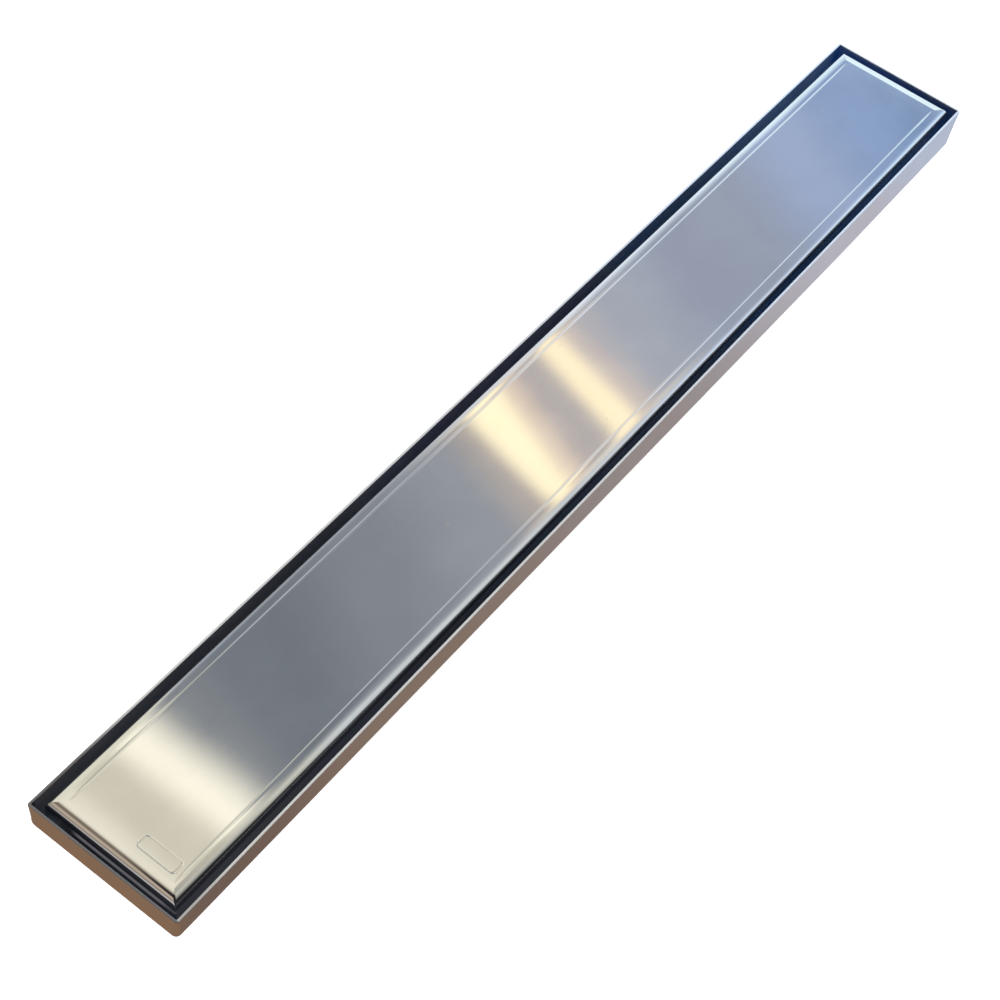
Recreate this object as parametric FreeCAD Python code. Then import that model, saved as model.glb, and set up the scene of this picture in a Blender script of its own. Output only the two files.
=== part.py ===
import FreeCAD, Part
import math
import os

from FreeCAD import Vector

# Linear shower drain, set flush in a tiled floor.
# A shallow steel tray with rounded bottom edges carries a solid folded cover plate. Water runs in
# through the slot left all round the cover, along a floor that falls to one end, and out through
# a strainer and a bell trap that sit in the outlet spigot.
# All lengths are in millimetres. +X runs along the tray towards the outlet end and +Z is up.
# The origin lies under the centre of the tray, level with the lower end of the spigot.

# Tray
tray_length = 600.0
tray_width = 75.0
tray_sheet = 1.2
shallow_depth = 18.6
deep_depth = 27.8
level_length = 115.0
bottom_radius = 7.0
rim_corner_radius = 1.0
foot_corner_radius = 2.5
inner_corner_least = 0.2
rim_edge_round = 0.35

# Outlet spigot, welded under the level stretch of the floor
outlet_inset = 58.0
spigot_radius = 25.0
spigot_wall = 1.5
spigot_length = 34.0
weld_leg = 2.0

# Cover plate, folded from one sheet
slot_side = 3.45
slot_end = 3.2
cover_sheet = 1.2
cover_proud = 1.0
cover_bend = 4.2
flange_depth = 11.0
border_fall = 0.1
border_side = 1.15
border_end = 2.0
press_line_left = 6.45
press_line_right = 7.15
press_line_width = 0.9
press_line_depth = 0.12
corner_seam = 0.5

# Brackets that carry the cover
support_count = 4
support_width = 18.0
support_sheet = 1.2
support_bend = 1.5
support_foot = 9.0
foot_margin = 0.5
support_end_margin = 2.0

# Rubber bumpers pushed into the brackets
bumper_radius = 6.0
bumper_height = 2.2
bumper_edge = 0.8
bumper_neck_radius = 2.5
bumper_barb_radius = 3.2
bumper_barb_length = 2.6
bumper_inset = 8.0
hole_clearance = 0.05

# Trap bowl, a moulding that hangs in the spigot
bowl_clearance = 0.7
bowl_wall = 2.2
bowl_bottom = 2.0
bowl_end_gap = 1.0
bowl_flange = 1.8
flange_overlap = 3.0
rebate_width = 1.4
rebate_depth = 1.0
standpipe_bore_radius = 8.5
standpipe_wall = 1.8

# Trap bell, a moulded cap over the standpipe
bell_gap = 3.2
bell_wall = 1.5
crown_gap = 4.0
rim_gap = 4.5
wing_count = 3
wing_width = 2.0
wing_tip = 0.8
wing_depth = 7.0
wing_play = 0.2

# Ring seal between the bowl and the spigot
seal_section = 2.0
seal_drop = 5.0
seal_groove_play = 0.3
seal_touch = 0.02

# Hair strainer with its knob
strainer_sheet = 0.8
strainer_height = 9.0
strainer_lip = 5.0
strainer_lip_play = 0.4
strainer_top_radius = 14.4
strainer_bend = 0.9
hole_radius = 1.4
inner_ring_radius = 7.4
inner_ring_count = 8
outer_ring_radius = 11.4
outer_ring_count = 14
side_slot_count = 16
side_slot_length = 6.2
side_slot_width = 2.2
knob_radius = 4.6
knob_height = 5.0
knob_neck_radius = 2.4
knob_shank_radius = 1.6
knob_upset_radius = 2.6
knob_upset = 0.8

# Levels, outlines and falls worked out from the sizes above
rim_z = spigot_length + deep_depth
half_length = tray_length / 2
half_width = tray_width / 2
level_start = half_length - level_length
fall = (deep_depth - shallow_depth) / (level_start + half_length)
flat_half_width = half_width - bottom_radius
outlet_x = half_length - outlet_inset
bore_radius = spigot_radius - spigot_wall
outlet_floor = spigot_length + tray_sheet
cover_top = rim_z + cover_proud
cover_half_length = half_length - tray_sheet - slot_end
cover_half_width = half_width - tray_sheet - slot_side

# The flat panel of the cover, inside the border where the sheet begins to fall
border_x = cover_half_length - cover_bend
border_y = cover_half_width - cover_bend
panel_x = border_x - border_end
panel_y = border_y - border_side

# The bracket's legs stand so that its feet end on the flat of the tray's floor
foot_end = flat_half_width - foot_margin
leg_y = foot_end - support_foot
web_top = cover_top - cover_sheet - bumper_height
bumper_y = leg_y - bumper_inset

# Trap levels and radii, from the spigot's bore and the outlet floor
bowl_radius = bore_radius - bowl_clearance
bowl_inner = bowl_radius - bowl_wall
bowl_foot = bowl_end_gap
bowl_floor = bowl_foot + bowl_bottom
flange_top = outlet_floor + bowl_flange
flange_radius = bore_radius + flange_overlap
rebate_z = flange_top - rebate_depth
bell_top = rebate_z + wing_tip
standpipe_radius = standpipe_bore_radius + standpipe_wall
standpipe_top = bell_top - bell_wall - crown_gap
bell_inner = standpipe_radius + bell_gap
bell_radius = bell_inner + bell_wall
bell_rim = bowl_floor + rim_gap
seal_z = outlet_floor - tray_sheet - seal_drop
seal_centre_radius = bore_radius - seal_section / 2
groove_radius = bore_radius - seal_section
groove_half = (seal_section + seal_groove_play) / 2

# Strainer levels and radii
strainer_rim = flange_radius - strainer_lip_play
strainer_foot = strainer_rim - strainer_lip
strainer_top = flange_top + strainer_height


def floor_top(x):
    """Height of the tray's inner floor at a place along its length."""
    return outlet_floor + fall * max(0.0, level_start - x)


def revolve(points):
    """Solid of revolution about Z from (radius, height) points."""
    corners = [Vector(r, 0, z) for r, z in points]
    wire = Part.makePolygon(corners + [corners[0]])
    return Part.Face(wire).revolve(Vector(0, 0, 0), Vector(0, 0, 1), 360)


def ring_of(shape, count, start=0.0):
    """Copies of a shape turned evenly about Z."""
    copies = []
    for index in range(count):
        copy = shape.copy()
        copy.rotate(Vector(0, 0, 0), Vector(0, 0, 1), start + 360.0 * index / count)
        copies.append(copy)
    return copies


def at_outlet(shape):
    """A shape made about Z, moved to the outlet's axis."""
    moved = shape.copy()
    moved.translate(Vector(outlet_x, 0, 0))
    return moved


def export(name, shape):
    shape = shape.removeSplitter()
    solids = shape.Solids
    print(name, "solids", len(solids), "valid", shape.isValid(), "volume", round(shape.Volume, 1))
    (solids[0] if len(solids) == 1 else shape).exportStep("parts/" + name + ".step")


def tray_form(inset, top):
    """Closed block with the tray's outline, stepped in on every face by the inset.

    The walls turn into the floor by the bottom radius. At each corner the two bends meet in a
    crease, which is rounded together with the upright corner above it."""
    x0 = half_length - inset
    y0 = half_width - inset
    deep = rim_z - deep_depth + inset
    shallow = deep + fall * (level_start + x0)
    outline = [(-x0, top), (x0, top), (x0, deep), (level_start, deep), (-x0, shallow)]
    corners = [Vector(x, -y0, z) for x, z in outline]
    block = Part.Face(Part.makePolygon(corners + [corners[0]])).extrude(Vector(0, 2 * y0, 0))
    edges = [edge for edge in block.Edges if runs_round_bottom(edge, x0, top)]
    block = block.makeFillet(bottom_radius - inset, edges)
    for side_x in (-x0, x0):
        for side_y in (-y0, y0):
            block = blend_corner(block, side_x, side_y, inset)
    return block


def blend_corner(block, x, y, inset):
    """Rounds one upright corner and the crease under it, by a radius that grows from the rim down."""
    rim_radius = max(rim_corner_radius - inset, inner_corner_least)
    foot_radius = max(foot_corner_radius - inset, inner_corner_least)
    for edge in block.Edges:
        start = edge.valueAt(edge.FirstParameter)
        end = edge.valueAt(edge.LastParameter)
        on_corner = all(abs(p.x - x) < 1e-6 and abs(p.y - y) < 1e-6 for p in (start, end))
        if on_corner and start.z > end.z:
            return block.makeFillet(rim_radius, foot_radius, [edge])
        if on_corner:
            return block.makeFillet(foot_radius, rim_radius, [edge])
    return block


def runs_round_bottom(edge, x0, top):
    """True for the edges where the walls of a tray block meet its underside."""
    box = edge.BoundBox
    is_upright = box.ZLength > max(box.XLength, box.YLength)
    is_crease = box.XLength < 1e-3 and abs(abs(box.XMin) - x0) > 1
    return box.ZMax < top - 1 and not is_upright and not is_crease


def make_channel_tray():
    outer = tray_form(0.0, rim_z)
    hollow = tray_form(tray_sheet, rim_z + tray_sheet)
    tray = outer.cut(hollow)
    rims = [edge for edge in tray.Edges if edge.BoundBox.ZMin > rim_z - 1e-4]
    tray = tray.makeFillet(rim_edge_round, rims)
    hole = Part.makeCylinder(bore_radius, deep_depth, Vector(outlet_x, 0, 0))
    hole.translate(Vector(0, 0, spigot_length - deep_depth / 2))
    return tray.cut(hole)


def make_outlet_spigot():
    tube = revolve([
        (bore_radius, 0),
        (spigot_radius, 0),
        (spigot_radius, spigot_length),
        (bore_radius, spigot_length),
    ])
    tube = tube.makeChamfer(spigot_wall / 4, [e for e in tube.Edges if e.BoundBox.ZMax < 1e-6])
    low = Vector(spigot_radius, 0, spigot_length - weld_leg)
    high = Vector(spigot_radius + weld_leg, 0, spigot_length)
    root = Vector(spigot_radius, 0, spigot_length)
    middle = Vector(spigot_radius + weld_leg * 0.35, 0, spigot_length - weld_leg * 0.35)
    arc = Part.Arc(low, middle, high).toShape()
    bead_face = Part.Face(Part.Wire([arc, Part.makeLine(high, root), Part.makeLine(root, low)]))
    bead = bead_face.revolve(Vector(0, 0, 0), Vector(0, 0, 1), 360)
    return at_outlet(tube.fuse(bead))


def cover_form(step_in, bottom):
    """Closed block with the cover's outline, stepped in on every face."""
    x0 = cover_half_length - step_in
    y0 = cover_half_width - step_in
    top = cover_top - step_in
    edge_z = top - border_fall
    block = Part.makeBox(2 * x0, 2 * y0, edge_z - bottom, Vector(-x0, -y0, bottom))
    rims = [e for e in block.Edges if e.BoundBox.ZMin > edge_z - 1e-6]
    block = block.makeFillet(cover_bend - step_in, rims)
    border = rectangle(border_x, border_y, edge_z)
    panel = rectangle(panel_x, panel_y, top)
    return block.fuse(Part.makeLoft([border, panel], True, True))


def rectangle(x, y, z):
    corners = [(-x, -y), (x, -y), (x, y), (-x, y), (-x, -y)]
    return Part.makePolygon([Vector(px, py, z) for px, py in corners])


def press_line(y):
    """Round tool that leaves a pressed line along the panel."""
    half = press_line_width / 2
    radius = (half ** 2 + press_line_depth ** 2) / (2 * press_line_depth)
    start = Vector(-panel_x, y, cover_top + radius - press_line_depth)
    return Part.makeCylinder(radius, 2 * panel_x, start, Vector(1, 0, 0))


def make_cover_plate():
    bottom = cover_top - flange_depth
    cover = cover_form(0.0, bottom).cut(cover_form(cover_sheet, bottom - cover_sheet))
    cover = cover.cut(press_line(cover_half_width - press_line_left))
    cover = cover.cut(press_line(press_line_right - cover_half_width))
    seam_height = flange_depth - cover_bend - border_fall
    reach = 2 * cover_bend
    for side_x, side_y, angle in ((1, 1, 45), (-1, 1, 135), (-1, -1, 225), (1, -1, 315)):
        seam = Part.makeBox(2 * reach, corner_seam, seam_height, Vector(-reach, -corner_seam / 2, 0))
        seam.rotate(Vector(0, 0, 0), Vector(0, 0, 1), angle)
        seam.translate(Vector(side_x * cover_half_length, side_y * cover_half_width, bottom))
        cover = cover.cut(seam)
    return cover


def bent_corner(inner_y, inner_z, turn_y, turn_z):
    """Face of one right-angle bend of a bracket, in the YZ plane.

    The bend's centre is at inner_y, inner_z, and it opens towards turn_y, turn_z."""
    large = support_bend + support_sheet
    small = support_bend
    diagonal = math.sqrt(0.5)
    centre = Vector(0, inner_y, inner_z)

    def arc(radius):
        a = centre + Vector(0, turn_y * radius, 0)
        m = centre + Vector(0, turn_y * radius * diagonal, turn_z * radius * diagonal)
        b = centre + Vector(0, 0, turn_z * radius)
        return Part.Arc(a, m, b).toShape(), a, b

    outer, outer_a, outer_b = arc(large)
    inner, inner_a, inner_b = arc(small)
    edges = [outer, Part.makeLine(outer_b, inner_b), inner, Part.makeLine(inner_a, outer_a)]
    return Part.Face(Part.Wire(Part.__sortEdges__(edges)))


def plate_face(y_low, y_high, z_low, z_high):
    corners = [(y_low, z_low), (y_high, z_low), (y_high, z_high), (y_low, z_high), (y_low, z_low)]
    return Part.Face(Part.makePolygon([Vector(0, y, z) for y, z in corners]))


def make_cover_support(x):
    """Hat-shaped bracket: a level web, two legs, and feet that follow the falling floor."""
    slope = fall if x < level_start else 0.0
    start = Vector(x - support_width / 2, 0, 0)
    foot_z = floor_top(start.x)
    bend = support_bend + support_sheet
    level_run = Vector(support_width, 0, 0)
    floor_run = Vector(support_width, 0, -slope * support_width)
    low_z = foot_z + bend
    high_z = web_top - bend
    pieces = []
    for side in (-1, 1):
        outer_y = side * leg_y
        inner_y = side * (leg_y - support_sheet)
        foot = plate_face(side * (leg_y + support_bend), side * foot_end, foot_z, foot_z + support_sheet)
        foot_bend = bent_corner(side * (leg_y + support_bend), low_z, -side, -1)
        web_bend = bent_corner(side * (leg_y - bend), high_z, side, 1)
        for face, run in ((foot, floor_run), (foot_bend, floor_run), (web_bend, level_run)):
            face.translate(start)
            pieces.append(face.extrude(run))
        leg_corners = [
            Vector(start.x, inner_y, low_z),
            Vector(start.x + support_width, inner_y, low_z - slope * support_width),
            Vector(start.x + support_width, inner_y, high_z),
            Vector(start.x, inner_y, high_z),
        ]
        leg = Part.Face(Part.makePolygon(leg_corners + [leg_corners[0]]))
        pieces.append(leg.extrude(Vector(0, outer_y - inner_y, 0)))
    web = plate_face(-(leg_y - bend), leg_y - bend, web_top - support_sheet, web_top)
    web.translate(start)
    bracket = web.extrude(level_run).fuse(pieces)
    for side in (-1, 1):
        hole = Part.makeCylinder(bumper_neck_radius + hole_clearance, 3 * support_sheet,
                                 Vector(x, side * bumper_y, web_top - 2 * support_sheet))
        bracket = bracket.cut(hole)
    return bracket


def make_bumper(x, y):
    """Rubber button: a flat head, a neck through the bracket, and a tapered barb below."""
    under = -support_sheet
    bumper = revolve([
        (0, bumper_height),
        (bumper_radius - bumper_edge, bumper_height),
        (bumper_radius, bumper_height - bumper_edge),
        (bumper_radius, 0),
        (bumper_neck_radius, 0),
        (bumper_neck_radius, under),
        (bumper_barb_radius, under),
        (bumper_neck_radius * 0.7, under - bumper_barb_length),
        (0, under - bumper_barb_length),
    ])
    bumper.translate(Vector(x, y, web_top))
    return bumper


def make_trap_bowl():
    bowl = revolve([
        (standpipe_bore_radius, bowl_foot),
        (bowl_radius, bowl_foot),
        (bowl_radius, seal_z - groove_half),
        (groove_radius, seal_z - groove_half),
        (groove_radius, seal_z + groove_half),
        (bowl_radius, seal_z + groove_half),
        (bowl_radius, outlet_floor),
        (flange_radius, outlet_floor),
        (flange_radius, flange_top),
        (bowl_inner + rebate_width, flange_top),
        (bowl_inner + rebate_width, rebate_z),
        (bowl_inner, rebate_z),
        (bowl_inner, bowl_floor),
        (standpipe_radius, bowl_floor),
        (standpipe_radius, standpipe_top),
        (standpipe_bore_radius, standpipe_top),
    ])
    inside = [e for e in bowl.Edges if abs(e.BoundBox.ZMin - bowl_floor) < 1e-6
              and e.BoundBox.ZLength < 1e-6 and e.Length > 1]
    bowl = bowl.makeFillet(bowl_bottom / 2, [e for e in inside if e.Closed])
    return at_outlet(bowl)


def make_trap_bell():
    bell = revolve([
        (0, bell_top),
        (bell_radius, bell_top),
        (bell_radius, bell_rim),
        (bell_inner, bell_rim),
        (bell_inner, bell_top - bell_wall),
        (0, bell_top - bell_wall),
    ])
    crown = [e for e in bell.Edges if e.Closed and e.BoundBox.ZMin > bell_top - 1e-6]
    bell = bell.makeFillet(bell_wall * 0.8, crown)
    root = bell_radius - bell_wall / 2
    shoulder = bowl_inner - wing_play
    tip = bowl_inner + rebate_width - wing_play
    corners = [
        (root, bell_top - bell_wall),
        (bell_radius + wing_play, bell_top),
        (tip, bell_top),
        (tip, rebate_z),
        (shoulder, rebate_z),
        (shoulder, bell_top - wing_depth / 2),
        (root, bell_top - wing_depth),
    ]
    points = [Vector(r, -wing_width / 2, z) for r, z in corners]
    wing = Part.Face(Part.makePolygon(points + [points[0]])).extrude(Vector(0, wing_width, 0))
    return at_outlet(bell.fuse(ring_of(wing, wing_count)))


def make_trap_seal():
    ring = Part.makeTorus(seal_centre_radius, seal_section / 2 - seal_touch)
    ring.translate(Vector(0, 0, seal_z))
    return at_outlet(ring)


def side_slot():
    """Tool for one slot in the strainer's sloping side, rounded at both ends."""
    rise = strainer_height
    run = strainer_foot - strainer_top_radius
    angle = math.degrees(math.atan2(rise, run))
    half = (side_slot_length - side_slot_width) / 2
    r = side_slot_width / 2
    a, b = Vector(-half, -r, 0), Vector(half, -r, 0)
    c, d = Vector(half, r, 0), Vector(-half, r, 0)
    edges = [
        Part.makeLine(a, b),
        Part.Arc(b, Vector(half + r, 0, 0), c).toShape(),
        Part.makeLine(c, d),
        Part.Arc(d, Vector(-half - r, 0, 0), a).toShape(),
    ]
    tool = Part.Face(Part.Wire(edges)).extrude(Vector(0, 0, 6 * strainer_sheet))
    tool.translate(Vector(0, 0, -3 * strainer_sheet))
    tool.rotate(Vector(0, 0, 0), Vector(0, 1, 0), angle)
    middle_radius = (strainer_foot + strainer_top_radius) / 2
    tool.translate(Vector(middle_radius, 0, flange_top + rise / 2))
    return tool


def make_hair_strainer():
    """Pressed cap with a flat lip, sloping slotted sides and a flat top with rings of holes."""
    s = strainer_sheet
    cap = revolve([
        (strainer_rim, flange_top),
        (strainer_rim, flange_top + s),
        (strainer_foot, flange_top + s),
        (strainer_top_radius, strainer_top),
        (0, strainer_top),
        (0, strainer_top - s),
        (strainer_top_radius - s, strainer_top - s),
        (strainer_foot - s, flange_top),
    ])
    bends = [e for e in cap.Edges if e.Closed and e.BoundBox.ZLength < 1e-6
             and e.BoundBox.XMax < strainer_rim - 1e-3]
    cap = cap.makeFillet(strainer_bend, bends)
    tools = ring_of(side_slot(), side_slot_count)
    hole = Part.makeCylinder(hole_radius, 6 * s, Vector(0, 0, strainer_top - 3 * s))
    tools += ring_of(hole.translated(Vector(inner_ring_radius, 0, 0)), inner_ring_count)
    tools += ring_of(hole.translated(Vector(outer_ring_radius, 0, 0)), outer_ring_count)
    tools.append(Part.makeCylinder(knob_shank_radius + hole_clearance, 6 * s,
                                   Vector(0, 0, strainer_top - 3 * s)))
    return at_outlet(cap.cut(Part.makeCompound(tools)))


def make_strainer_knob():
    """Turned knob riveted through the strainer's top."""
    knob = revolve([
        (0, strainer_top + knob_height),
        (knob_radius, strainer_top + knob_height),
        (knob_radius, strainer_top + knob_height * 0.6),
        (knob_neck_radius, strainer_top + knob_height * 0.3),
        (knob_neck_radius, strainer_top),
        (knob_shank_radius, strainer_top),
        (knob_shank_radius, strainer_top - strainer_sheet),
        (knob_upset_radius, strainer_top - strainer_sheet),
        (knob_upset_radius, strainer_top - strainer_sheet - knob_upset),
        (0, strainer_top - strainer_sheet - knob_upset),
    ])
    head = [e for e in knob.Edges if e.Closed and e.BoundBox.ZMin > strainer_top + knob_height * 0.5]
    return at_outlet(knob.makeFillet(knob_height * 0.12, head))


def main():
    os.makedirs("parts", exist_ok=True)
    export("channel_tray", make_channel_tray())
    export("outlet_spigot", make_outlet_spigot())
    export("cover_plate", make_cover_plate())
    end_x = half_length - bottom_radius - support_end_margin - support_width / 2
    pitch = 2 * end_x / (support_count - 1)
    for index in range(support_count):
        x = -end_x + pitch * index
        label = str(index + 1)
        export("cover_support_" + label, make_cover_support(x))
        export("bumper_" + label + "_left", make_bumper(x, bumper_y))
        export("bumper_" + label + "_right", make_bumper(x, -bumper_y))
    export("trap_bowl", make_trap_bowl())
    export("trap_bell", make_trap_bell())
    export("trap_seal", make_trap_seal())
    export("hair_strainer", make_hair_strainer())
    export("strainer_knob", make_strainer_knob())


main()
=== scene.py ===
import math

import bmesh
import bpy
from mathutils import Matrix, Vector


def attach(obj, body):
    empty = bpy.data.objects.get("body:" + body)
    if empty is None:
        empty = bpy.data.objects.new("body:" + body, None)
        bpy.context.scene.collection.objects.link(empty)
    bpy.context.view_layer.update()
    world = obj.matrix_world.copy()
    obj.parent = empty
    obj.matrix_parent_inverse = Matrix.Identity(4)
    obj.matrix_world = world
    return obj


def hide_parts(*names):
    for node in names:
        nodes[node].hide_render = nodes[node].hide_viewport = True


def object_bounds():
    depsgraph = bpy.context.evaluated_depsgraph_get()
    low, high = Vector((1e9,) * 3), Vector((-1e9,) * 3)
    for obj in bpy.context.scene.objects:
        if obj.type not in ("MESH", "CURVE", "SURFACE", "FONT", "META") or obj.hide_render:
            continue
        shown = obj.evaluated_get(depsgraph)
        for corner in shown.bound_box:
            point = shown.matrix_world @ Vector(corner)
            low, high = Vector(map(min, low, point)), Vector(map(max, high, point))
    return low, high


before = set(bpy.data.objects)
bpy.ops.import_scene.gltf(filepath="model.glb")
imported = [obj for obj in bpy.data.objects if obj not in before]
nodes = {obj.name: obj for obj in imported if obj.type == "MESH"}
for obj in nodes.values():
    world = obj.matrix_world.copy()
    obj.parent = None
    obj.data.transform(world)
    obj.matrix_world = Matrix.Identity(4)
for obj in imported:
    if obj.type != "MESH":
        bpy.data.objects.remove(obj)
cad_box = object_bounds()
scene = bpy.context.scene

# The cover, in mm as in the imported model
COVER_TOP = 62.8
COVER_BOTTOM = 51.8
COVER_SHEET = 1.2
PANEL_HALF = (289.4, 27.5)
BORDER_HALF = (291.4, 28.65)
BORDER_FALL = 0.1
BEND = 4.2
EASE_ANGLE = math.radians(7)
SEAM_HALF = 0.36
MITRE_ROUND = 0.35
SHARP_ANGLE = math.radians(38)

# Waves of its panel, fading over the last stretch before the ends and the sides: two crossed
# sines and a slanting one, each given by its lengths over 2 pi and its phase
WAVE_DEPTH = 0.008
WAVE_LEVEL = 1.6
WAVE_ALONG = (31, 0.6)
WAVE_ACROSS = (17, 0.9)
WAVE_SLANT = (13.7, 23, 2.1)
WAVE_SLANT_SHARE = 0.6
WAVE_FADE = (12, 7)

# Lines pressed along the panel: place across it, half width, depth. They fade out before
# the ends, are shallower up to PRESS_NEAR, and grow to their depth over the length after it.
PRESS_LINES = ((26.3, 0.85, 0.25), (-26.0, 0.65, 0.22))
PRESS_FADE = 15
PRESS_NEAR = -190
PRESS_NEAR_LENGTH = 70
PRESS_NEAR_SHARE = 0.55

# Empty frame pressed in at the near end
STAMP_CENTRE = (-283.5, -14.3)
STAMP_HALF = (3.0, 9.0)
STAMP_CORNER = 1.3
STAMP_LINE = 0.3
STAMP_DEPTH = 0.05

# Spacing of the panel's grid: overall, and closer at its ends and at the frame
GRID_STEP = (4.0, 2.6)
GRID_LEAST = 0.04
END_FROM = 286.9
END_STEP = 0.4
STAMP_REACH = (3.5, 9.4)
STAMP_STEP = (0.15, 0.2)
PRESS_STEPS = 6
EASE_STEPS = 3
BEND_STEPS = 11
FLANGE_DROPS = (0.5, 3.2)

# The tray, in m: half length, half width, and the spans of height that end its inner faces
# and begin its rim
TRAY_HALF = (0.3, 0.0375)
INSIDE_END = (0.0612, 0.0615)
RIM_START = (0.0614, 0.0616)

# Camera, fitted to the photograph's view, in m
CAMERA_PLACE = Vector((-0.537446, -0.257766, 0.754887))
CAMERA_RIGHT = Vector((0.596063, -0.793727, 0.121267))
CAMERA_DOWN = Vector((-0.595018, -0.538055, -0.597035))
CAMERA_AHEAD = Vector((0.539131, 0.283715, -0.792997))
CAMERA_LENS = 73.402
CAMERA_SENSOR = 36.0
CAMERA_CLIP = (0.01, 50.0)

# Height of the camera over the cover's panel
EYE_HEIGHT = CAMERA_PLACE.z - COVER_TOP / 1000

# Spans over which the noises go from their low to their high end
NOISE_SPAN = (0.3, 0.7)
CLOUD_SPAN = (0.35, 0.68)

# Grain drawn out along the direction of rolling, and heights of the bumps in m
SHEET_GRAIN = (260, 2600, 2600)
COVER_GRAIN = (190, 2400, 2400)
SHEET_BUMP = 2e-6
COVER_BUMP = 6e-7
MOULD_BUMP = 1.5e-5

# Shares by which colour and roughness wander: the sheet's dark clouds and its grain, and the
# flecks and pores of moulded pieces
CLOUD_DARKER = 0.93
GRAIN_SHARE = 0.6
MOULD_FLECK = 0.06
MOULD_PORE = 0.08

# Base colours, the cloudy ones as darker and lighter end
COVER_TINTS = (0.635, 0.635, 0.635, 1), (0.675, 0.675, 0.675, 1)
SPECK_TINT = (0.45, 0.44, 0.42, 1)
TRAY_TINTS = (0.577, 0.567, 0.558, 1), (0.62, 0.61, 0.6, 1)
# The rim's tints: the bluer end is a painted reflection, and the dark tint is painted shade
RIM_PAINTED_REFLECTION_TINTS = (0.63, 0.63, 0.63, 1), (0.65, 0.72, 0.84, 1)
RIM_PAINTED_SHADE_TINT = (0.15, 0.14, 0.14, 1)
# Painted shade on the tray's inner faces that the cover's bends mirror
INNER_PAINTED_SHADE_TINT = (0.03, 0.03, 0.035, 1)

# Tables of display tones (0 to 255): the first tone, then (low edge, high edge, tone after it).

# Painted glow in the slot, by the place along the drain, standing for light that the slot's walls
# pass on to each other. The near flange comes first, with a painted reflection: its dark lines
# and the grey band between them.
FLANGE_NEAR = (0, 2, 6), (89, 88, 91)
FLANGE_SLOT = (
    (-0.2955, -0.2945, (36, 35, 38)), (-0.25, -0.20, (21, 23, 28)), (-0.15, -0.04, (16, 26, 36)),
    (0.04, 0.12, (4, 20, 44)), (0.16, 0.26, (4, 22, 48)))
TRAY_SLOT = (20, 22, 27), (
    (-0.15, -0.04, (19, 20, 31)), (0.04, 0.12, (13, 25, 42)), (0.15, 0.25, (29, 45, 68)),
    (0.290, 0.296, (1, 22, 60)))

# Low down before the near end: pale grey, a peach wall between two dim stretches, then cream
LOW_ROOM = (205, 203, 208), (
    (-2.45, -2.0, (147, 136, 125)), (-1.5, -1.25, (182, 167, 148)),
    (-1.07, -0.85, (122, 111, 98)), (-0.62, -0.38, (231, 225, 207)))

# Cream window over the near end, then the ceiling, growing lighter, then bluer.
# Each row starts with the skew by which its edge slants over the panel.
CEILING = (
    (0.0, -0.288, -0.279, (207, 200, 182)), (0.0, -0.268, -0.256, (258, 252, 232)),
    (0.0, -0.253, -0.232, (124, 129, 135)), (0.3, -0.226, -0.212, (114, 120, 127)),
    (0.6, -0.190, -0.140, (131, 136, 144)), (0.6, -0.130, -0.080, (146, 151, 159)),
    (0.3, -0.072, -0.056, (170, 163, 160)), (0.4, -0.026, -0.010, (180, 174, 173)),
    (0.3, 0.022, 0.036, (177, 177, 183)), (0.4, 0.036, 0.050, (165, 171, 183)),
    (0.5, 0.060, 0.100, (150, 158, 176)), (0.6, 0.150, 0.200, (155, 170, 201)),
    (0.6, 0.210, 0.250, (139, 162, 199)), (0.6, 0.260, 0.290, (126, 150, 188)),
    (0.0, 0.291, 0.300, (228, 247, 254)))

# Half of the panel's width over which the edges slant
SLANT_HALF = 0.029

# Light around the two lamps, low down on both sides: centre, half and softness of its band
GLOW_BAND = (-0.008, 0.052, 0.07)
GLOW_TONE = (214, 209, 201)

# Bright room on the right, its dim corner by the near end, and the dark floor below it
RIGHT_ROOM = (186, 185, 174), (
    (-0.27, -0.24, (194, 194, 183)), (-0.23, -0.19, (200, 205, 208)),
    (-0.06, 0.08, (205, 218, 238)), (0.10, 0.24, (208, 231, 254)))
RIGHT_CORNER = (150, 149, 138)
RIGHT_FLOOR = (36, 36, 40)

# Bright room on the left
LEFT_ROOM = (220, 218, 199), (
    (-0.25, -0.215, (152, 159, 170)), (-0.10, -0.02, (218, 222, 228)),
    (0.0, 0.05, (227, 238, 251)), (0.10, 0.22, (221, 243, 255)))

# Two warm lamps: where each starts, ends, and where its paler tail ends, as (skew, low edge,
# high edge), then its tone and the tail's
LAMPS = (
    ((0.22, -0.0515, -0.0425), (0.42, -0.0325, -0.0225), (0.42, -0.022, -0.012),
     (272, 258, 216), (224, 204, 188)),
    ((0.33, -0.0005, 0.0085), (0.25, 0.0148, 0.0238), (0.15, 0.0253, 0.0373),
     (272, 254, 212), (203, 191, 187)))

# Slopes at which the panel's right and left edges mirror the room, and the least upward share
# of a direction, which keeps places near the horizon finite
FLAT_SLOPES = (0.329, 0.4165)
LEAST_UP = 0.03
ROOM_STRENGTH = 1.5

# What the tray's walls mirror below the horizon: warm wood near, pale far, and on the right
# from dark to pale, by the direction
BENCH_ALONG = (158, 126, 101), (
    (-0.31, -0.26, (134, 112, 101)), (-0.25, -0.15, (155, 134, 121)),
    (-0.12, 0.06, (175, 165, 164)), (0.06, 0.24, (212, 211, 223)),
    (0.25, 0.34, (208, 219, 242)), (0.4, 0.8, (228, 247, 254)))
BENCH_RIGHT = (32, 32, 36), (
    (0.36, 0.5, (46, 50, 54)), (0.5, 0.62, (92, 96, 104)), (0.62, 0.78, (134, 142, 152)),
    (0.78, 0.9, (188, 200, 220)), (0.9, 1.1, (212, 233, 255)))
BENCH_HALF = 8.0
BENCH_DROP = 0.001

FLOOR_TINT = (0.94, 0.94, 0.94)
FLOOR_GLOW = 0.6
FLOOR_HALF = 40.0

SUN_ENERGY = 2.4
SUN_ANGLE = 2.6


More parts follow.
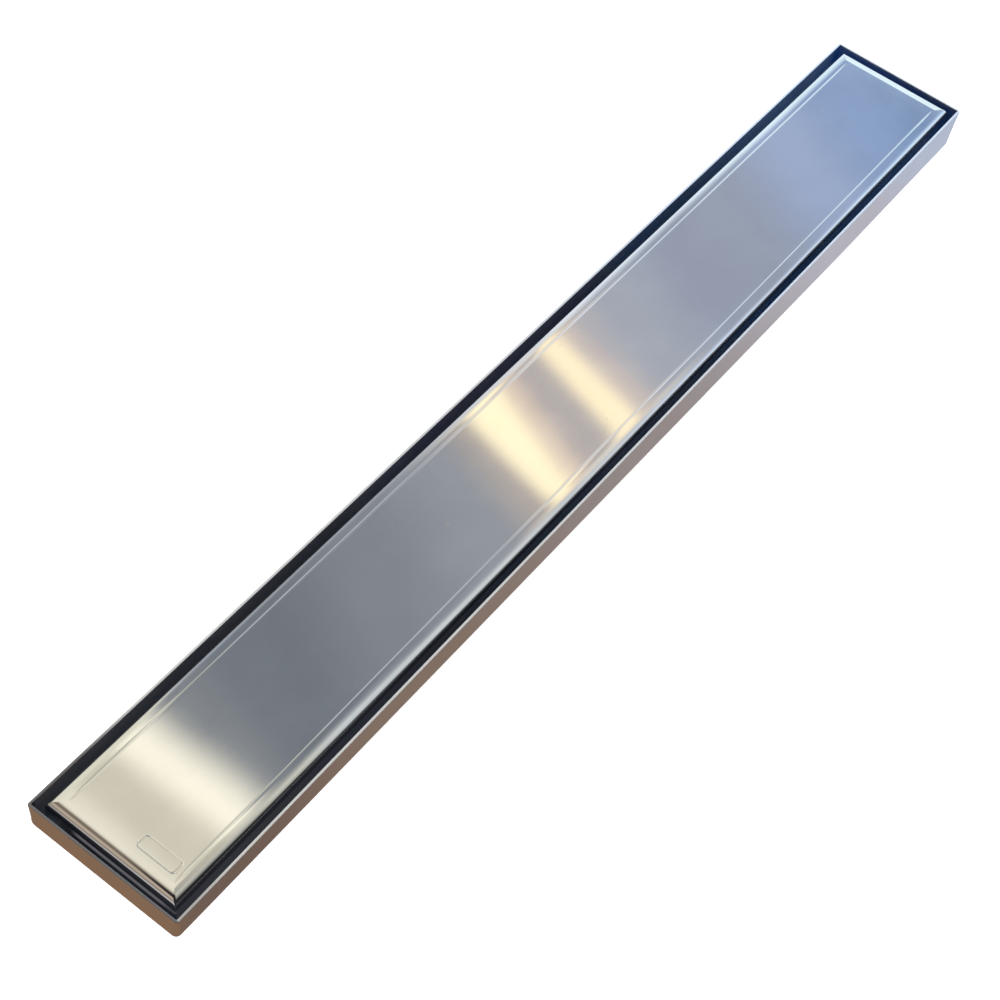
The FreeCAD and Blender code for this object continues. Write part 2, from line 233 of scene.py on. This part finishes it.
def linear(r, g, b):
    """Scene colour of a display colour given as 0 to 255."""
    out = []
    for value in (r, g, b):
        c = value / 255
        out.append(c / 12.92 if c <= 0.04045 else ((c + 0.055) / 1.055) ** 2.4)
    return (*out, 1.0)


class Nodes:
    """A node tree with short calls for the nodes used here."""

    def __init__(self, tree):
        self.tree = tree
        tree.nodes.clear()

    def add(self, kind, **settings):
        node = self.tree.nodes.new(kind)
        for key, value in settings.items():
            setattr(node, key, value)
        return node

    def feed(self, node, values):
        """Link or set inputs of a node, given by name or number."""
        for key, value in values.items():
            if isinstance(value, bpy.types.NodeSocket):
                self.tree.links.new(value, node.inputs[key])
            else:
                node.inputs[key].default_value = value
        return node

    def split(self, vector):
        """The x, y and z of a vector."""
        return tuple(self.feed(self.add("ShaderNodeSeparateXYZ"), {0: vector}).outputs)

    def math(self, operation, *values):
        node = self.add("ShaderNodeMath", operation=operation)
        return self.feed(node, dict(enumerate(values))).outputs[0]

    def times(self, first, *rest):
        """The product of several values."""
        for value in rest:
            first = self.math("MULTIPLY", first, value)
        return first

    def other(self, value):
        """1 less the value."""
        return self.math("SUBTRACT", 1.0, value)

    def clamp(self, value, low, high):
        return self.math("MINIMUM", self.math("MAXIMUM", value, low), high)

    def remap(self, value, low, high, start, end, kind="LINEAR"):
        """start at low and below, end at high and above."""
        node = self.add("ShaderNodeMapRange", interpolation_type=kind)
        return self.feed(node, {"Value": value, "From Min": low, "From Max": high,
                                "To Min": start, "To Max": end}).outputs[0]

    def smooth(self, value, low, high, start=0.0, end=1.0):
        """start below low, end above high, and a smooth step between them."""
        return self.remap(value, low, high, start, end, "SMOOTHSTEP")

    def fade(self, value, low, high):
        """1 below low, 0 above high, and a smooth step between them."""
        return self.smooth(value, low, high, 1.0, 0.0)

    def band(self, value, centre, half, soft):
        """1 inside centre +/- half, falling to 0 over soft."""
        away = self.math("ABSOLUTE", self.math("SUBTRACT", value, centre))
        return self.fade(away, half - soft / 2, half + soft / 2)

    def mix(self, factor, a, b):
        node = self.add("ShaderNodeMix", data_type="RGBA")
        return self.feed(node, {"Factor": factor, "A": a, "B": b}).outputs["Result"]

    def tones(self, place, colour, steps):
        """A colour that changes in smooth steps of (low edge, high edge, tone) along a place."""
        if not isinstance(colour, bpy.types.NodeSocket):
            colour = linear(*colour)
        for low, high, tone in steps:
            colour = self.mix(self.smooth(place, low, high), colour, linear(*tone))
        return colour

    def noise(self, vector, scale, detail, roughness, distortion=0.0):
        return self.feed(self.add("ShaderNodeTexNoise"), {
            "Vector": vector, "Scale": scale, "Detail": detail, "Roughness": roughness,
            "Distortion": distortion}).outputs["Fac"]

    def stretch(self, vector, scale):
        node = self.add("ShaderNodeMapping")
        return self.feed(node, {"Vector": vector, "Scale": scale}).outputs["Vector"]

    def bump(self, height, distance):
        return self.feed(self.add("ShaderNodeBump"), {
            "Strength": 1.0, "Distance": distance, "Height": height}).outputs["Normal"]


def new_material(name):
    """A material with its nodes, its shader and the place on the part."""
    material = bpy.data.materials.new(name)
    material.use_nodes = True
    n = Nodes(material.node_tree)
    shader = n.add("ShaderNodeBsdfPrincipled")
    n.feed(n.add("ShaderNodeOutputMaterial"), {"Surface": shader.outputs["BSDF"]})
    place = n.add("ShaderNodeTexCoord").outputs["Object"]
    return material, n, shader, place


def sheet_noise(n, place, grain=SHEET_GRAIN, scale=38, distortion=0.4):
    """Clouds, and fine grain drawn out along one direction."""
    return (n.noise(place, scale, 4, 0.55, distortion),
            n.noise(n.stretch(place, grain), 1.0, 3, 0.6))


def sheet_gloss(n, cloud, fine, rough, spread, fine_spread):
    """Roughness that wanders with the clouds and the grain."""
    return n.math("ADD", n.remap(cloud, *NOISE_SPAN, rough - spread, rough + spread),
                  n.remap(fine, *NOISE_SPAN, -fine_spread, fine_spread))


def satin(n, shader, place, tint, rough, spread=0.05, grain=SHEET_GRAIN):
    """Satin stainless steel: fine rolled, drawn or turned grain and cloudy gloss."""
    cloud, fine = sheet_noise(n, place, grain)
    darker = tuple(c * CLOUD_DARKER for c in tint)
    n.feed(shader, {
        "Base Color": n.mix(n.smooth(cloud, *CLOUD_SPAN), (*darker, 1), (*tint, 1)),
        "Metallic": 1.0,
        "Roughness": sheet_gloss(n, cloud, fine, rough, spread, spread * GRAIN_SHARE),
        "Normal": n.bump(fine, SHEET_BUMP)})


def steel(name, *look):
    """A satin steel by itself, with the tint, roughness, spread and grain given."""
    material, n, shader, place = new_material(name)
    satin(n, shader, place, *look)
    return material


def moulded(name, tint, rough):
    """Moulded plastic or rubber: fine spark-eroded texture and a slightly uneven colour."""
    material, n, shader, place = new_material(name)
    cloud = n.noise(place, 55, 3, 0.5)
    pore = n.noise(place, 1900, 2, 0.6)
    low = tuple(c * (1 - MOULD_FLECK) for c in tint)
    high = tuple(c * (1 + MOULD_FLECK) for c in tint)
    n.feed(shader, {
        "Base Color": n.mix(cloud, (*low, 1), (*high, 1)),
        "Roughness": n.remap(pore, *NOISE_SPAN, rough - MOULD_PORE, rough + MOULD_PORE),
        "Normal": n.bump(pore, MOULD_BUMP)})
    return material


def cover_finish():
    """Fine satin stainless sheet: lengthwise grain, cloudy gloss, and a few specks."""
    material, n, shader, place = new_material("cover_satin")
    cloud, fine = sheet_noise(n, place, COVER_GRAIN, 24, 0.3)
    speck = n.smooth(n.noise(place, 330, 1, 0.4), 0.79, 0.84)
    tint = n.mix(n.smooth(cloud, *CLOUD_SPAN), *COVER_TINTS)
    gloss = sheet_gloss(n, cloud, fine, 0.045, 0.007, 0.006)
    n.feed(shader, {
        "Base Color": n.mix(n.times(speck, 0.35), tint, SPECK_TINT),
        "Metallic": 1.0,
        "Roughness": n.math("ADD", gloss, n.times(speck, 0.15)),
        "Normal": n.bump(fine, COVER_BUMP)})
    return material


def flange_finish_and_painted_glow():
    """The cover's turned-down flanges, seen only in the slot.

    They and the tray's inner faces give off a dim light, which stands for what the slot's
    walls pass on to each other over many bounces.
    """
    material, n, shader, place = new_material("flange_satin_painted_glow")
    satin(n, shader, place, (0.64, 0.64, 0.64), 0.34)
    x, y, z = n.split(place)
    # Painted reflection on the near flange: a grey band with dark lines above and below it
    band = n.times(n.smooth(z, 0.0550, 0.0563), n.fade(y, 0.015, 0.020),
                   n.smooth(y, -0.0315, -0.024, 0.35, 1.0))
    near = n.mix(band, *(linear(*tone) for tone in FLANGE_NEAR))
    n.feed(shader, {"Emission Color": n.tones(x, near, FLANGE_SLOT), "Emission Strength": 1.0})
    return material


def tray_finish_and_painted_light():
    """Satin sheet outside, rougher inside, with painted light: a painted glow and painted shade
    on the inner faces, and a bright rim with a painted reflection that is bluer towards the far
    end and painted shade along the near end and near left.
    """
    material, n, shader, place = new_material("tray_satin_painted_light")
    cloud, fine = sheet_noise(n, place)
    x, y, z = n.split(place)
    facing_x, facing_y, facing_z = n.split(n.add("ShaderNodeNewGeometry").outputs["Normal"])

    # The faces that look into the tray, and the rim's flat top
    outward = n.math("ADD", n.times(x, facing_x, 1 / TRAY_HALF[0]),
                     n.times(y, facing_y, 1 / TRAY_HALF[1]))
    inward = n.smooth(n.math("SUBTRACT", facing_z, outward), 0.2, 0.7)
    inside = n.times(inward, n.fade(z, *INSIDE_END))
    rim = n.times(n.smooth(z, *RIM_START), n.smooth(facing_z, 0.3, 0.7))

    # The rim is bright, with a painted reflection that makes it bluer towards the far end, and
    # painted shade that makes it dark along the near end and near left
    bright = n.mix(n.smooth(x, -0.05, 0.2), *RIM_PAINTED_REFLECTION_TINTS)
    end = n.math("MAXIMUM", n.fade(x, -0.2990, -0.2987), n.smooth(x, -0.293, -0.262, 0.42, 0.0))
    left = n.times(n.smooth(y, 0.0, 0.03), n.fade(x, -0.275, -0.235))
    bright = n.mix(n.math("MAXIMUM", end, left), bright, RIM_PAINTED_SHADE_TINT)
    tint = n.mix(n.smooth(cloud, *CLOUD_SPAN), *TRAY_TINTS)
    tint = n.mix(rim, tint, bright)

    # Painted shade: inner faces that the cover's bends would mirror are painted dark
    near_right = n.times(n.smooth(y, -0.03, 0.0, 0.85, 0.0), n.fade(x, -0.16, -0.02))
    painted_shade = n.math("MAXIMUM", near_right, n.smooth(x, -0.2980, -0.2965, 0.85, 0.0))
    tint = n.mix(n.times(painted_shade, inward, n.other(rim)), tint, INNER_PAINTED_SHADE_TINT)

    gloss = n.math("ADD", sheet_gloss(n, cloud, fine, 0.2, 0.04, 0.024),
                   n.times(n.math("MAXIMUM", inside, rim), 0.15))
    # Painted glow on the inner faces, standing for light the slot's walls pass on to each other:
    # full on the left, and from 2.2 near to 0.5 far on the right
    side = n.smooth(y, -0.03, 0.03, n.smooth(x, -0.20, -0.07, 2.2, 0.5), 1.0)
    n.feed(shader, {
        "Base Color": tint,
        "Metallic": n.other(n.times(rim, 0.5)),
        "Roughness": gloss,
        "Normal": n.bump(fine, SHEET_BUMP),
        "Emission Color": n.tones(x, *TRAY_SLOT),
        "Emission Strength": n.times(inside, side)})
    return material


def dress_pieces():
    """Give each CAD piece the finish that the start of its name calls for."""
    finishes = {
        "cover_plate": cover_finish(),
        "channel_tray": tray_finish_and_painted_light(),
        "outlet_spigot": steel("spigot_drawn", (0.58, 0.58, 0.57), 0.28, 0.05, (2600, 2600, 260)),
        "hair_strainer": steel("strainer_pressed", (0.6, 0.6, 0.6), 0.25, 0.05, (900, 900, 900)),
        "strainer_knob": steel("knob_turned", (0.62, 0.62, 0.62), 0.2, 0.04, (300, 300, 5200)),
        "cover_support": steel("bracket_mill", (0.56, 0.56, 0.56), 0.3, 0.06),
        "bumper": moulded("bumper_rubber", (0.05, 0.05, 0.05), 0.62),
        "trap_bowl": moulded("bowl_moulded", (0.78, 0.78, 0.76), 0.42),
        "trap_bell": moulded("bell_moulded", (0.2, 0.21, 0.22), 0.45),
        "trap_seal": moulded("seal_rubber", (0.04, 0.04, 0.04), 0.6),
    }
    for name, node in nodes.items():
        finish = next(look for start, look in finishes.items() if name.startswith(start))
        node.data.materials.clear()
        node.data.materials.append(finish)


def press_shape(away, half):
    """Depth share of a pressed groove at a distance from its middle."""
    if away >= half:
        return 0.0
    return 0.5 + 0.5 * math.cos(math.pi * away / half)


def stamp_distance(x, y):
    """Distance from the rounded rectangle pressed in at the near end."""
    dx = abs(x - STAMP_CENTRE[0]) - STAMP_HALF[0] + STAMP_CORNER
    dy = abs(y - STAMP_CENTRE[1]) - STAMP_HALF[1] + STAMP_CORNER
    outside = math.hypot(max(dx, 0.0), max(dy, 0.0))
    return abs(outside + min(max(dx, dy), 0.0) - STAMP_CORNER)


def panel_wave(x, y):
    """How far the panel's waves go down, as a multiple of WAVE_DEPTH."""
    along = math.sin(x / WAVE_ALONG[0] + WAVE_ALONG[1])
    across = math.sin(y / WAVE_ACROSS[0] + WAVE_ACROSS[1])
    slant = math.sin(x / WAVE_SLANT[0] - y / WAVE_SLANT[1] + WAVE_SLANT[2])
    return WAVE_LEVEL + (along * across + WAVE_SLANT_SHARE * slant)


def sheet_dip(x, y):
    """How far the panel lies under its top level: slight waves, pressed lines and the frame."""
    to_end, to_side = PANEL_HALF[0] - abs(x), PANEL_HALF[1] - abs(y)
    rim = min(1.0, to_end / WAVE_FADE[0], to_side / WAVE_FADE[1])
    dip = WAVE_DEPTH * panel_wave(x, y) * max(rim, 0.0)
    fade = min(1.0, to_end / PRESS_FADE)
    gain = max(0.0, min(1.0, (x - PRESS_NEAR) / PRESS_NEAR_LENGTH))
    share = PRESS_NEAR_SHARE + (1 - PRESS_NEAR_SHARE) * gain
    for line, half, depth in PRESS_LINES:
        dip += depth * share * fade * fade * (3 - 2 * fade) * press_shape(abs(y - line), half)
    dip += STAMP_DEPTH * press_shape(stamp_distance(x, y), STAMP_LINE)
    return dip


def spaced(half, step, dense):
    """Grid lines from -half to half, closer inside each dense (low, high, step) stretch."""
    def row(low, high, gap):
        count = round((high - low) / gap)
        return {low + (high - low) * k / count for k in range(count + 1)}

    ends = (-half, half)
    lines = row(*ends, step) | set(ends)
    for low, high, fine in dense:
        lines = {v for v in lines if not low - fine / 2 < v < high + fine / 2 or v in ends}
        lines |= row(low, high, fine)
    kept = []
    for v in sorted(lines):
        if not kept or v - kept[-1] > GRID_LEAST:
            kept.append(v)
    return kept


def panel_lines():
    """Grid lines of the panel, as places along it and across it."""
    stamp = [(centre - reach, centre + reach, step)
             for centre, reach, step in zip(STAMP_CENTRE, STAMP_REACH, STAMP_STEP)]
    ends = [(-PANEL_HALF[0], -END_FROM, END_STEP), (END_FROM, PANEL_HALF[0], END_STEP)]
    lines = [(line - half, line + half, half / PRESS_STEPS) for line, half, _ in PRESS_LINES]
    return (spaced(PANEL_HALF[0], GRID_STEP[0], ends + stamp[:1]),
            spaced(PANEL_HALF[1], GRID_STEP[1], lines + stamp[1:]))


def cover_rings():
    """(half length, half width, height) of the cover's rings, from the panel's edge down."""
    rings = []
    drop = BORDER_FALL + BEND * (1 - math.cos(EASE_ANGLE))
    reach = [b + BEND * math.sin(EASE_ANGLE) for b in BORDER_HALF]
    for k in range(1, EASE_STEPS + 1):
        f = k / EASE_STEPS
        x, y = (p + (r - p) * f for p, r in zip(PANEL_HALF, reach))
        rings.append((x, y, COVER_TOP - drop * f * f))
    centre = COVER_TOP - BORDER_FALL - BEND
    for k in range(1, BEND_STEPS + 1):
        angle = EASE_ANGLE + (math.pi / 2 - EASE_ANGLE) * k / BEND_STEPS
        out = BEND * math.sin(angle)
        x, y = (b + out for b in BORDER_HALF)
        rings.append((x, y, centre + BEND * math.cos(angle)))
    return rings


def cover_skin():
    """Outer face of the folded cover: panel, border, bends, flanges with open corner seams."""
    xs, ys = panel_lines()
    mesh = bmesh.new()

    def vertex(x, y, z):
        return mesh.verts.new((x / 1000, y / 1000, z / 1000))

    def pushed_out(i, j):
        """Place of a grid corner when the panel is stretched to the current ring."""
        return xs[i] * half_x / PANEL_HALF[0], ys[j] * half_y / PANEL_HALF[1]

    grid = [[vertex(x, y, COVER_TOP - sheet_dip(x, y)) for y in ys] for x in xs]
    last_x, last_y = len(xs) - 1, len(ys) - 1
    for i in range(last_x):
        for j in range(last_y):
            mesh.faces.new((grid[i][j], grid[i + 1][j], grid[i + 1][j + 1], grid[i][j + 1]))

    # Border and bends, ring by ring, each side starting at a corner
    sides = [
        [(i, 0) for i in range(last_x + 1)],
        [(last_x, j) for j in range(last_y + 1)],
        [(i, last_y) for i in range(last_x, -1, -1)],
        [(0, j) for j in range(last_y, -1, -1)],
    ]
    loop = [at for side in sides for at in side[:-1]]
    above = {at: grid[at[0]][at[1]] for at in loop}
    mitres = []
    for half_x, half_y, z in cover_rings():
        ring = {at: vertex(*pushed_out(*at), z) for at in loop}
        for k, at in enumerate(loop):
            after = loop[(k + 1) % len(loop)]
            mesh.faces.new((above[after], above[at], ring[at], ring[after]))
        mitres += [(above[side[0]], ring[side[0]]) for side in sides]
        above = ring

    # Flanges below the last ring, each stopping short of its corners
    levels = [z - drop for drop in FLANGE_DROPS] + [COVER_BOTTOM]
    for number, side in enumerate(sides):
        upper = [above[at] for at in side]
        for level in levels:
            lower = []
            for at in side:
                x, y = pushed_out(*at)
                if number % 2 == 0:
                    x = max(-half_x + SEAM_HALF, min(half_x - SEAM_HALF, x))
                else:
                    y = max(-half_y + SEAM_HALF, min(half_y - SEAM_HALF, y))
                lower.append(vertex(x, y, level))
            for k in range(len(side) - 1):
                face = mesh.faces.new((upper[k + 1], upper[k], lower[k], lower[k + 1]))
                face.material_index = 1
            upper = lower

    # The first two rings are nearly flat, so their corners stay sharp
    ridge = [mesh.edges.get(pair) for pair in mitres[2 * len(sides):]]
    bmesh.ops.bevel(mesh, geom=ridge, offset=MITRE_ROUND / 1000, segments=2, profile=0.5,
                    affect="EDGES", clamp_overlap=True)
    return mesh


def make_cover():
    """The visible cover: the folded skin, thickened to the sheet."""
    skin = cover_skin()
    mesh = bpy.data.meshes.new("cover_pressed")
    for face in skin.faces:
        face.smooth = True
    skin.to_mesh(mesh)
    skin.free()
    mesh.materials.append(cover_finish())
    mesh.materials.append(flange_finish_and_painted_glow())
    obj = bpy.data.objects.new("cover_pressed", mesh)
    scene.collection.objects.link(obj)
    shell = obj.modifiers.new("sheet", "SOLIDIFY")
    shell.thickness = COVER_SHEET / 1000
    shell.offset = -1
    shell.use_even_offset = True
    evaluated = obj.evaluated_get(bpy.context.evaluated_depsgraph_get())
    made = bpy.data.meshes.new_from_object(evaluated)
    obj.modifiers.clear()
    obj.data = made
    made.name = "cover_pressed"
    made.set_sharp_from_angle(angle=SHARP_ANGLE)
    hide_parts("cover_plate")
    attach(obj, "root")


def room_place(n):
    """Where a direction is mirrored on the cover's panel: u along it and v across it, in m."""
    x, y, z = n.split(n.add("ShaderNodeTexCoord").outputs["Generated"])
    up = n.math("MAXIMUM", z, LEAST_UP)
    slope = n.math("DIVIDE", y, up)
    v = n.math("MULTIPLY_ADD", slope, EYE_HEIGHT, CAMERA_PLACE.y)
    # A bend along a side spreads the room lengthwise, and this takes that out again
    flat = n.clamp(slope, *FLAT_SLOPES)
    spread = n.math("SQRT", n.math("DIVIDE", n.math("MULTIPLY_ADD", slope, slope, 1.0),
                                   n.math("MULTIPLY_ADD", flat, flat, 1.0)))
    u = n.math("DIVIDE", n.math("DIVIDE", x, up), spread)
    return n.math("MULTIPLY_ADD", u, EYE_HEIGHT, CAMERA_PLACE.x), v


def add_right_room(n, colour, u, out):
    """What the bend along the right side mirrors: out is the distance beyond the middle."""
    # The room starts further out along the drain up to u = 0.14, and then nearer again
    past = n.math("MAXIMUM", n.math("ADD", u, 0.2), 0.0)
    beyond = n.math("MAXIMUM", n.math("SUBTRACT", past, 0.34), 0.0)
    past = n.math("MULTIPLY_ADD", beyond, -1.9, past)
    start = n.times(past, 1.3)
    reach = n.math("MULTIPLY_ADD", past, 3.9, 0.5)
    bright = n.smooth(n.math("DIVIDE", n.math("SUBTRACT", out, start), reach), 0.0, 1.0)
    colour = n.mix(bright, colour, n.tones(u, *RIGHT_ROOM))
    corner = n.times(n.smooth(out, 0.030, 0.08), n.fade(out, 0.2, 0.42),
                     n.fade(u, -0.238, -0.225), n.smooth(u, -0.292, -0.276, 0.85, 0.32))
    colour = n.mix(corner, colour, linear(*RIGHT_CORNER))
    # The dark floor comes up sooner towards the near end
    depth = n.times(out, n.math("EXPONENT", n.math("MULTIPLY_ADD", u, -8.5, -2.38)))
    return n.mix(n.smooth(depth, 0.35, 1.3), colour, linear(*RIGHT_FLOOR))


def add_left_room(n, colour, u, v):
    """What the bend along the left side mirrors."""
    far = n.smooth(u, -0.075, -0.005)
    near_bright = n.smooth(v, 0.25, 1.8)
    rate = n.smooth(u, 0.12, 0.26, -1.6, -4.0)
    rise = n.math("MAXIMUM", n.math("SUBTRACT", v, 0.035), 0.0)
    far_bright = n.other(n.math("EXPONENT", n.times(rise, rate)))
    bright = n.math("ADD", n.times(near_bright, n.other(far)), n.times(far_bright, far))
    window = n.times(n.fade(u, -0.252, -0.232), n.smooth(v, 0.03, 0.5))
    bright = n.times(n.math("MAXIMUM", bright, window), n.smooth(u, -0.40, -0.32))
    return n.mix(bright, colour, n.tones(u, *LEFT_ROOM))


def make_world():
    """Room that the steel mirrors, laid out as it falls on the cover's panel from this camera."""
    world = bpy.data.worlds.new("room")
    world.use_nodes = True
    n = Nodes(world.node_tree)
    back = n.add("ShaderNodeBackground")
    n.feed(n.add("ShaderNodeOutputWorld"), {"Surface": back.outputs["Background"]})
    u, v = room_place(n)
    across = n.clamp(v, -SLANT_HALF, SLANT_HALF)
    out = n.times(v, -1.0)

    def step(skew, low, high):
        """0 to 1 across an edge that slants over the panel."""
        return n.smooth(n.math("SUBTRACT", u, n.times(across, skew)), low, high)

    colour = n.tones(u, *LOW_ROOM)
    for skew, low, high, tone in CEILING:
        colour = n.mix(step(skew, low, high), colour, linear(*tone))
    away = n.math("ABSOLUTE", v)
    glow = n.times(n.band(u, *GLOW_BAND), n.smooth(away, 0.045, 0.3), n.fade(away, 0.6, 1.1))
    colour = n.mix(glow, colour, linear(*GLOW_TONE))
    colour = add_right_room(n, colour, u, out)
    colour = add_left_room(n, colour, u, v)
    for rise, fall, tail_fall, tone, tail_tone in LAMPS:
        lit = n.times(step(*rise), n.fade(out, 0.033, 0.85), n.fade(v, 0.04, 0.5))
        colour = n.mix(n.times(lit, n.other(step(*tail_fall))), colour, linear(*tail_tone))
        colour = n.mix(n.times(lit, n.other(step(*fall))), colour, linear(*tone))
    n.feed(back, {"Color": colour, "Strength": ROOM_STRENGTH})
    scene.world = world


def plane(name, half, z, material):
    """A level square, for the floor and the bench."""
    corners = [(-half, -half, z), (half, -half, z), (half, half, z), (-half, half, z)]
    mesh = bpy.data.meshes.new(name)
    mesh.from_pydata(corners, [], [(0, 1, 2, 3)])
    mesh.materials.append(material)
    obj = bpy.data.objects.new(name, mesh)
    scene.collection.objects.link(obj)
    return obj


def make_floor():
    """Plain pale floor, which the steel doesn't mirror."""
    material, n, shader, place = new_material("floor_white")
    darker = tuple(c * 0.985 for c in FLOOR_TINT)
    n.feed(shader, {
        "Base Color": n.mix(n.noise(place, 14, 3, 0.5), (*darker, 1), (*FLOOR_TINT, 1)),
        "Roughness": 0.9,
        "Emission Color": (*FLOOR_TINT, 1),
        "Emission Strength": FLOOR_GLOW})
    floor = plane("floor", FLOOR_HALF, cad_box[0].z, material)
    floor.visible_glossy = False


def make_bench():
    """Plane seen only in the steel, with the tones of the room below the horizon."""
    material, n, shader, place = new_material("bench_tone")
    x, y, _ = n.split(place)
    right = n.times(y, -1.0)
    way = n.math("DIVIDE", x, n.math("MAXIMUM", right, 0.01))
    tone = n.mix(n.smooth(right, 0.25, 0.45), n.tones(x, *BENCH_ALONG),
                 n.tones(way, *BENCH_RIGHT))
    n.feed(shader, {
        "Base Color": (0, 0, 0, 1),
        "Specular IOR Level": 0.0,
        "Emission Color": tone,
        "Emission Strength": 1.0})
    bench = plane("bench", BENCH_HALF, cad_box[0].z - BENCH_DROP, material)
    bench.visible_camera = False
    bench.visible_diffuse = False
    bench.visible_shadow = False
    bench.visible_transmission = False


def make_light():
    """Soft light from straight above, not mirrored."""
    sun = bpy.data.objects.new("soft_light", bpy.data.lights.new("soft_light", "SUN"))
    sun.data.energy = SUN_ENERGY
    sun.data.angle = SUN_ANGLE
    sun.matrix_world = Matrix.Translation((0, 0, 2))
    sun.visible_glossy = False
    scene.collection.objects.link(sun)


def make_camera():
    """Camera in the photograph's view."""
    camera = bpy.data.objects.new("camera", bpy.data.cameras.new("camera"))
    camera.data.sensor_width = CAMERA_SENSOR
    camera.data.lens = CAMERA_LENS
    camera.data.clip_start, camera.data.clip_end = CAMERA_CLIP
    turn = Matrix((CAMERA_RIGHT, -CAMERA_DOWN, -CAMERA_AHEAD)).transposed().to_4x4()
    camera.matrix_world = Matrix.Translation(CAMERA_PLACE) @ turn
    scene.collection.objects.link(camera)
    scene.camera = camera
    scene.view_settings.view_transform = "Standard"
    scene.view_settings.look = "None"


dress_pieces()
make_cover()
make_floor()
make_bench()
make_world()
make_light()
make_camera()
